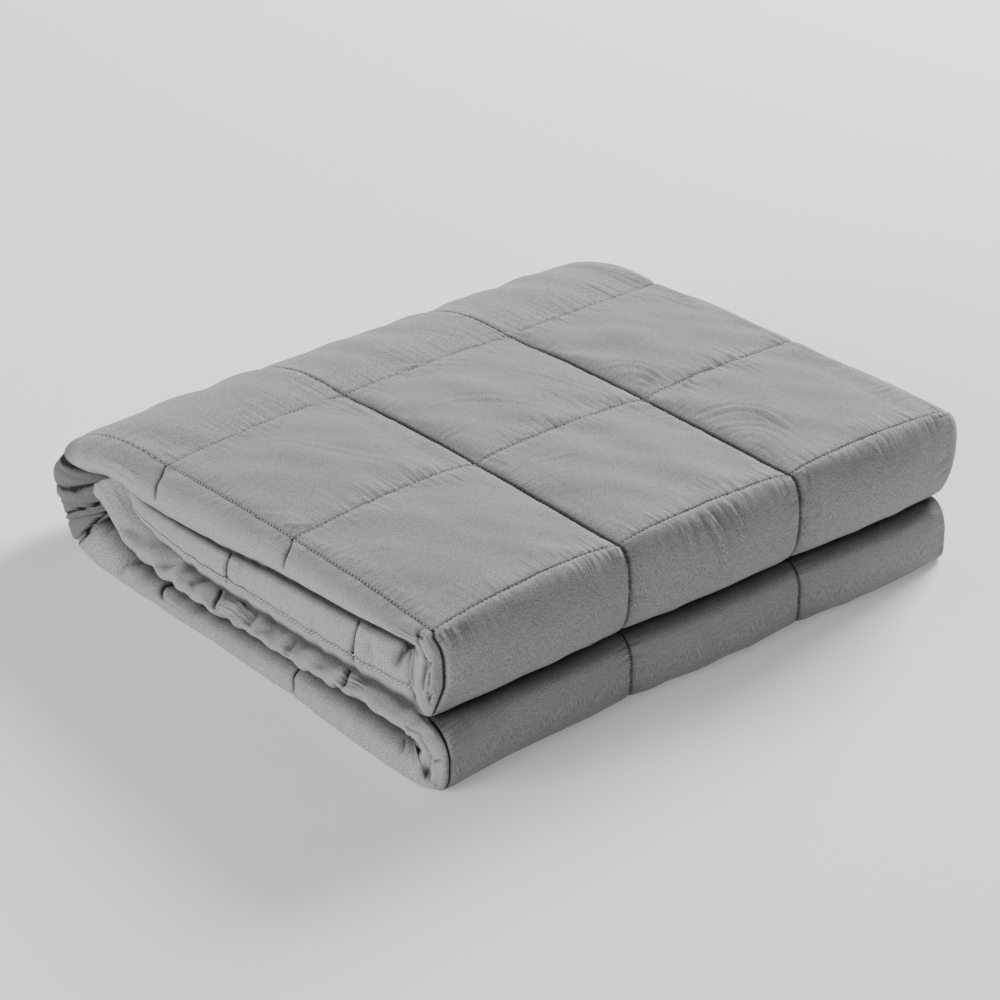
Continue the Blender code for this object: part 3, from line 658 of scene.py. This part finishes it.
def add_puckers(width, along, out):
    """Short uneven puckers beside the stitch lines."""
    rng = np.random.default_rng(PUCKER_SEED)
    for lies, at, side, spacing, longest, high, lean in zip(*PUCKERS.values()):
        off, on = (width, along) if lies == "long" else (along, width)
        start, end = PUCKER_ROWS[lies]
        away = (off - at) * side * SQUARE_MM
        near = (away >= 0) & (away < longest) & (on > start) & (on < end)
        away = away[near]
        beside = on[near] * SQUARE_MM
        found = np.zeros(len(away))
        place = start * SQUARE_MM
        while place < end * SQUARE_MM:
            place += spacing * rng.uniform(*PUCKER_DRAWS["spacing"])
            length = longest * rng.uniform(*PUCKER_DRAWS["length"])
            tall = high * rng.uniform(*PUCKER_DRAWS["height"])
            tall *= rng.choice((-1, 1), p=(PUCKER_DIPS, 1 - PUCKER_DIPS))
            broad = spacing * rng.uniform(*PUCKER_DRAWS["width"])
            tilt = lean + rng.normal(0, PUCKER_TILT)
            # Each rises within a few mm of the seam and dies away towards its end.
            t = np.clip(away / length, 0, 1)
            profile = (1 - t) ** 1.5 * np.clip(0.35 + 4 * t, 0, 1)
            found += tall * profile * np.exp(-(((beside - place - tilt * away) / broad) ** 2))
        out[near] += found


def waves(width, along, part):
    """Soft uneven waves of the cloth, in mm."""
    row = WAVES["part"].index(part)
    rng = np.random.default_rng(WAVES_SEED + row)
    total = np.zeros(len(width))
    weight = 0
    for _ in range(WAVES_EACH):
        length = rng.uniform(WAVES["shortest"][row], WAVES["longest"][row])
        heading = rng.normal(WAVES["heading"][row], WAVES["spread"][row])
        strength = length / WAVES["longest"][row]
        phase = rng.uniform(0, 2 * np.pi)
        run = (width * np.cos(heading) + along * np.sin(heading)) * SQUARE_MM
        total += strength * np.cos(2 * np.pi * run / length + phase)
        weight += strength**2 / 2
    return WAVES["height"][row] * total / np.sqrt(weight)


def fold_shade(width, along):
    """The shade painted into the cloth's colour where its folds meet."""
    past_edge = np.clip(-width / SHADE_FADE["across"] - 1, 0, 1)
    painted_shade = np.interp(along, *BACK_SHADE.values()) * past_edge
    for start, end, first, last, dark in zip(*MEETING_SHADE.values()):
        share = np.clip((width - first) / (last - first), 0, 1) * (width < 0)
        painted_shade += dark * share * np.clip(np.minimum(along - start, end - along) / SHADE_FADE["along"], 0, 1)
    return painted_shade + np.interp(along, *FRONT_SHADE.values()) * (width > -SHADE_FADE["across"])


def relief(girth, along):
    """How far the cloth stands out of its fold, in mm, and the shade painted into its colour in its seams,
    creases and folds.
    """
    width = cloth_width(girth)
    where = np.stack([width, along], axis=1) * SQUARE_MM
    out = np.zeros(len(girth))
    painted_shade = fold_shade(width, along)
    add_seams(width, along, out, painted_shade)
    add_right_seams(width, along, out, painted_shade)
    add_creases(where, out, painted_shade, TOP_CREASES, TOP_BOLDNESS, rippled=True)
    add_creases(where, out, painted_shade, BULGE_CREASES, BULGE_BOLDNESS, rippled=True)
    add_creases(where, out, painted_shade, STRIP_SEAMS + STRIP_CREASES + (HEM_CREASE,))
    add_puckers(width, along, out)

    on_strip = np.clip(-width / STRIP_START, 0, 1)
    on_top = np.interp(along, *TOP_WAVES.values())
    uneven = on_top * waves(width, along, "top") + (1 - on_top) * waves(width, along, "bulge")
    wrinkles = waves(width, along, "strip") * np.interp(along, *STRIP_WRINKLES.values())
    off_long = np.abs(width - np.rint(width)) / PINNED["width"]
    off_cross = np.abs(along - np.rint(along)) / PINNED["width"]
    free = np.clip(off_long, 0, 1) * np.clip(off_cross, PINNED["least"], 1)
    out += uneven * (1 - on_strip) * free + wrinkles * on_strip
    # Where the left fold lies on the surface its underside stays flat, and its edge thin.
    flat = np.interp(along, *SAG.values())
    out *= np.where(girth < 0, 1 - flat, 1)
    out *= np.where(girth > LOWER, 1 - flat * (1 - np.clip((END - girth) / FLAT_EDGE, 0, 1)), 1)
    seen = (girth <= INNER) | (girth > LOWER)
    return np.where(seen, out, 0), np.where(seen, np.clip(painted_shade, 0, DARKEST), 0)


def surface(girth, along):
    """Places of the cloth with its relief, their outward directions, and the shade painted there."""
    across_way = fold(girth + SIGHT, along) - fold(girth - SIGHT, along)
    along_way = fold(girth, along + SIGHT) - fold(girth, along - SIGHT)
    outward = np.cross(across_way, along_way)
    outward /= np.maximum(np.linalg.norm(outward, axis=1, keepdims=True), 1e-12)
    out, painted_shade = relief(girth, along)
    places = fold(girth, along) + outward * (out / 1000)[:, None]
    places[:, 2] = np.maximum(places[:, 2], 0)
    return places, outward, painted_shade


# ---- Making the cloth ----


def crowded(at):
    """An even place moved to where the cloth is cut: the cuts crowd next to the stitch lines."""
    nearest = np.rint(at)
    away = at - nearest
    return nearest + np.sign(away) * 0.5 * np.interp(np.abs(away) * 2, *CROWD.values())


def on_seams(girth, along):
    """Places along the cloth moved so that the cuts run along the seams of the left side fold."""
    width = cloth_width(girth)
    moved = along.copy()
    for *_, points in STRIP_SEAMS:
        path = np.array(sorted(points))
        seam = np.rint(path[:, 1].mean())
        lean = np.interp(width, path[:, 0], path[:, 1] - seam)
        beside = np.clip(1 - 2 * np.abs(along - seam), 0, 1)
        moved += lean * beside * np.clip(-width / SEAM_BEND, 0, 1)
    return moved


def halvings(girth, along):
    """How often a coarse cell is halved: most where the cloth is seen closely, never where it is hidden."""
    if girth < 0 or girth > LOWER:
        return HALVINGS
    if girth > INNER:
        return 0
    if girth > RIGHT:
        return 2
    if CLOSE_TOP[0] < along < CLOSE_TOP[1] or CLOSE_FRONT[0] < along < CLOSE_FRONT[1]:
        return HALVINGS
    if BACK_TURN_SEEN[0] < along < BACK_TURN_SEEN[1]:
        return 2
    return 1


def label_grid():
    """A flat grid whose x is the girth and whose y is the length along, finer where it shows."""
    outer = [column / CELLS for column in range(RIGHT * CELLS + 1)]
    girth = [-1, -0.5] + outer + [RIGHT + half / 2 for half in range(1, 2 * (END - RIGHT) + 1)]
    first, last = UPPER_INNER["along"][0], LOWER_INNER["along"][-1]
    along = [row / CELLS for row in range(int(np.floor(first * CELLS)), int(np.ceil(last * CELLS)) + 1)]
    mesh = bmesh.new()
    cells = (len(girth) - 1, len(along) - 1)
    bmesh.ops.create_grid(mesh, x_segments=cells[0], y_segments=cells[1], size=0.5)
    for vert in mesh.verts:
        column = round((vert.co.x + 0.5) * cells[0])
        row = round((vert.co.y + 0.5) * cells[1])
        vert.co = (girth[column], along[row], 0)
    for level in range(HALVINGS):
        fine = [face for face in mesh.faces if halvings(*face.calc_center_median().xy) > level]
        edges = {edge for face in fine for edge in face.edges}
        bmesh.ops.subdivide_edges(mesh, edges=list(edges), cuts=1, use_grid_fill=True)
    return mesh


def blanket_mesh():
    """The folded cloth as one closed tube, with a flat map of the cloth and the shade painted into its
    creases.
    """
    mesh = label_grid()
    flat = np.array([vert.co[:2] for vert in mesh.verts])
    girth = np.where((flat[:, 0] > 0) & (flat[:, 0] < RIGHT), crowded(flat[:, 0]), flat[:, 0])
    girth = np.where(girth < 0, -np.interp(-girth, *STRIP_CROWD.values()), girth)
    along = np.clip(crowded(flat[:, 1]), UPPER_INNER["along"][0], LOWER_INNER["along"][-1])
    along = on_seams(girth, along)
    places, _, painted_shade = surface(girth, along)

    girth_layer = mesh.verts.layers.float.new("girth")
    along_layer = mesh.verts.layers.float.new("along")
    # Shade painted into the cloth's colour.
    painted_shade_layer = mesh.verts.layers.float.new("painted_shade")
    for vert, *values in zip(mesh.verts, girth, along, painted_shade):
        vert[girth_layer], vert[along_layer], vert[painted_shade_layer] = values
    cloth_map = mesh.loops.layers.uv.new("cloth")
    # At the start of the left fold's lower half the map has two widths, so each side gets its own.
    plain = np.stack([cloth_width(np.minimum(girth, LOWER - 1e-6)), along], axis=1) * SQUARE
    lower = np.stack([cloth_width(np.maximum(girth, LOWER)), along], axis=1) * SQUARE
    mesh.verts.index_update()
    for face in mesh.faces:
        flat_map = lower if face.calc_center_median().x > LOWER else plain
        for loop in face.loops:
            loop[cloth_map].uv = flat_map[loop.vert.index]
    for vert, place in zip(mesh.verts, places):
        vert.co = place
    # Both rims lie on the same edge of the fold: they are joined, and then the ends are closed.
    rims = [vert for vert in mesh.verts if vert.is_boundary]
    bmesh.ops.remove_doubles(mesh, verts=rims, dist=1e-5)
    bmesh.ops.holes_fill(mesh, edges=[edge for edge in mesh.edges if edge.is_boundary], sides=0)
    bmesh.ops.recalc_face_normals(mesh, faces=mesh.faces[:])
    return mesh


def add_piece(name, mesh, material):
    """The mesh as a finished piece on the blanket's body."""
    data = bpy.data.meshes.new(name)
    mesh.to_mesh(data)
    mesh.free()
    data.shade_smooth()
    data.materials.append(material)
    piece = bpy.data.objects.new(name, data)
    bpy.context.collection.objects.link(piece)
    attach(piece, "root")
    return piece


# ---- Stitches ----


def seam_stitches():
    """The middle of every stitch in the seams, and the way from there to its end, by girth and along."""
    half = STITCH["length"] / SQUARE_MM / 2
    middles = []
    ways = []
    for lies, at, start, end in zip(*STITCH_ROWS.values()):
        for place in np.arange(start, end, STITCH["pitch"] / SQUARE_MM):
            middles.append((at, place) if lies == "long" else (place, at))
            ways.append((0, half) if lies == "long" else (half, 0))
    return np.array(middles), np.array(ways)


def hem_stitches():
    """The same for the stitches that zigzag along the hem."""
    path = rounded_path(HEM)
    lengths = np.concatenate([[0], np.cumsum(np.linalg.norm(np.diff(path, axis=0), axis=1))])
    places = np.arange(0, lengths[-1], HEM_STITCH["pitch"])
    swing = HEM_STITCH["swing"] * (-1.0) ** np.arange(len(places))
    across = (np.interp(places, lengths, path[:, 0]) + swing) / SQUARE_MM / FOLD_WIDTH
    along = np.interp(places, lengths, path[:, 1]) / SQUARE_MM
    half = np.full(len(places), STITCH["length"] / SQUARE_MM / 2)
    ways = np.stack([-swing / SQUARE_MM / FOLD_WIDTH, half], axis=1)
    return np.stack([across, along], axis=1), ways


def laid_stitches():
    """The transforms that lay a round bead as each stitch."""
    laid = []
    for (middles, ways), thread in ((seam_stitches(), STITCH), (hem_stitches(), HEM_STITCH)):
        starts, up_starts, _ = surface(*(middles - ways).T)
        ends, up_ends, _ = surface(*(middles + ways).T)
        radius = thread["radius"] / 1000
        lift = thread["lift"] / 1000
        for start, end, up in zip(starts, ends, up_starts + up_ends):
            way = Vector(end - start)
            side = way.cross(Vector(up)).normalized()
            top = side.cross(way).normalized()
            turn = Matrix((side * radius, top * radius, way / 2)).transposed().to_4x4()
            turn.translation = Vector((start + end) / 2) + top * lift
            laid.append(turn)
    return laid


def stitch_mesh():
    """Short rounded threads that lie in the seams."""
    laid = laid_stitches()
    apart = 10  # the beads are made in a row, this far apart, so that each can be told by its place
    mesh = bmesh.new()
    bmesh.ops.create_uvsphere(mesh, u_segments=6, v_segments=4, radius=1)
    bmesh.ops.spin(
        mesh,
        geom=mesh.verts[:] + mesh.edges[:] + mesh.faces[:],
        dvec=(apart, 0, 0),
        axis=(0, 0, 1),
        angle=0,
        steps=len(laid) - 1,
        use_duplicate=True,
    )
    for vert in mesh.verts:
        stitch = round(vert.co.x / apart)
        vert.co.x -= stitch * apart
        vert.co = laid[stitch] @ vert.co
    bmesh.ops.recalc_face_normals(mesh, faces=mesh.faces[:])
    return mesh


# ---- Materials ----


class Socket:
    """A node's output. Arithmetic on it adds Math nodes to its material."""

    def __init__(self, nodes, output):
        self.nodes = nodes
        self.output = output

    def part(self, name):
        """Another output of the same node."""
        return Socket(self.nodes, self.output.node.outputs[name])

    def math(self, operation, *values):
        return self.nodes.add("ShaderNodeMath", {"operation": operation}, *values)

    def __add__(self, other):
        return self.math("ADD", self, other)

    __radd__ = __add__

    def __mul__(self, other):
        return self.math("MULTIPLY", self, other)

    __rmul__ = __mul__

    def __sub__(self, other):
        return self.math("SUBTRACT", self, other)

    def __rsub__(self, other):
        return self.math("SUBTRACT", other, self)


class Finish:
    """A material and its nodes."""

    def __init__(self, name):
        self.material = bpy.data.materials.new(name)
        self.material.use_nodes = True
        self.tree = self.material.node_tree
        self.shader = self.tree.nodes["Principled BSDF"]

    def set(self, node, key, value):
        if isinstance(value, Socket):
            self.tree.links.new(value.output, node.inputs[key])
        else:
            node.inputs[key].default_value = value

    def add(self, kind, settings=None, *values, **named):
        """A node with its settings, then the values or links of its sockets, in order or by name."""
        node = self.tree.nodes.new(kind)
        for name, value in (settings or {}).items():
            setattr(node, name, value)
        for index, value in enumerate(values):
            self.set(node, index, value)
        for name, value in named.items():
            self.set(node, name.replace("_", " "), value)
        return Socket(self, node.outputs[0])

    def finish(self, **sockets):
        for name, value in sockets.items():
            self.set(self.shader, name.replace("_", " "), value)
        return self.material


def cloth_finish():
    """Soft grey microfibre: a fine grain, a slightly uneven dye, and shade painted into the colour in its
    seams, creases and folds.
    """
    cloth = Finish("grey_cloth")
    cloth_map = cloth.add("ShaderNodeUVMap", {"uv_map": "cloth"})
    in_mm = cloth.add("ShaderNodeVectorMath", {"operation": "SCALE"}, cloth_map, Scale=1000.0)
    fibre = cloth.add("ShaderNodeMapping", None, in_mm, Scale=(1.0, 0.55, 1.0), Rotation=(0, 0, 0.5))
    grain = cloth.add("ShaderNodeTexNoise", None, Vector=fibre, Scale=1.5, Detail=3.0, Roughness=0.75)
    fluff = cloth.add("ShaderNodeTexNoise", None, Vector=in_mm, Scale=0.22, Detail=2.0)
    dye = cloth.add("ShaderNodeTexNoise", None, Vector=in_mm, Scale=0.02, Detail=2.0)
    # The shade painted into the colour where seams, creases and folds lie in shadow.
    painted_shade = cloth.add("ShaderNodeAttribute", {"attribute_name": "painted_shade"}).part("Fac")
    level = 1.0 + (grain - 0.5) * CONTRAST["grain"] + (fluff - 0.5) * CONTRAST["fluff"]
    # The painted shade darkens the base colour.
    level = (level + (dye - 0.5) * CONTRAST["dye"]) * (1.0 - painted_shade)
    colour = cloth.add("ShaderNodeCombineColor", None, *(level * part for part in CLOTH_GREY))
    # Fine puckers run off the stitch lines, straight across them.
    axes = cloth.add("ShaderNodeSeparateXYZ", None, in_mm)
    off_long = axes.math("PINGPONG", axes, SQUARE_MM / 2)
    off_cross = axes.math("PINGPONG", axes.part("Y"), SQUARE_MM / 2)
    patches = cloth.add("ShaderNodeTexNoise", None, Vector=in_mm, Scale=0.035, Detail=1.0)
    uneven = patches * FINE_PATCHES["contrast"] - FINE_PATCHES["bare"]
    raised = (grain + fluff) * 0.15
    for off, reach, stretch in zip((off_cross, off_long), *FINE_PUCKERS.values()):
        near = off.math("MAXIMUM", 1.0 - off * (1 / reach), 0.0)
        stretched = cloth.add("ShaderNodeMapping", None, in_mm, Scale=stretch)
        puckers = cloth.add("ShaderNodeTexNoise", None, Vector=stretched, Scale=0.26, Detail=1.5)
        raised = raised + puckers * near * uneven
    bump = cloth.add("ShaderNodeBump", None, Strength=1.0, Distance=0.001, Height=raised)
    return cloth.finish(
        Base_Color=colour,
        Roughness=0.85,
        Normal=bump,
        Sheen_Weight=0.08,
        Sheen_Roughness=0.5,
        Specular_IOR_Level=0.12,
    )


def thread_finish():
    return Finish("grey_thread").finish(Base_Color=THREAD_GREY, Roughness=0.7)


def floor_finish():
    white = (1, 1, 1, 1)
    pale = Finish("pale_floor")
    return pale.finish(Base_Color=FLOOR_WHITE, Roughness=0.9, Emission_Color=white, Emission_Strength=0.2)


quilt = add_piece("quilt", blanket_mesh(), cloth_finish())
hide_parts("blanket")
add_piece("stitches", stitch_mesh(), thread_finish())

# ---- Floor, light and camera ----
floor_mesh = bmesh.new()
bmesh.ops.create_grid(floor_mesh, x_segments=1, y_segments=1, size=6)
floor_data = bpy.data.meshes.new("floor")
floor_mesh.to_mesh(floor_data)
floor_mesh.free()
floor_data.materials.append(floor_finish())
floor = bpy.data.objects.new("floor", floor_data)
floor.location.z = FLOOR_HEIGHT
bpy.context.collection.objects.link(floor)

for name, place, wide, power in zip(*LIGHTS.values()):
    light = bpy.data.lights.new(name, "AREA")
    light.size = wide
    light.energy = power
    lamp = bpy.data.objects.new(name, light)
    lamp.location = place
    lamp.rotation_euler = Vector(place).to_track_quat("Z", "Y").to_euler()
    bpy.context.collection.objects.link(lamp)
world = bpy.data.worlds.new("studio")
world.use_nodes = True
daylight = world.node_tree.nodes["Background"]
daylight.inputs["Color"].default_value = (1, 1, 1, 1)
daylight.inputs["Strength"].default_value = DAYLIGHT
bpy.context.scene.world = world

camera_data = bpy.data.cameras.new("camera")
camera_data.lens = CAMERA_LENS
camera_data.sensor_width = CAMERA_SENSOR
camera = bpy.data.objects.new("camera", camera_data)
camera.location = CAMERA_PLACE
camera.rotation_euler = (np.pi / 2 - CAMERA_ELEVATION, 0, CAMERA_AZIMUTH)
bpy.context.collection.objects.link(camera)
bpy.context.scene.camera = camera
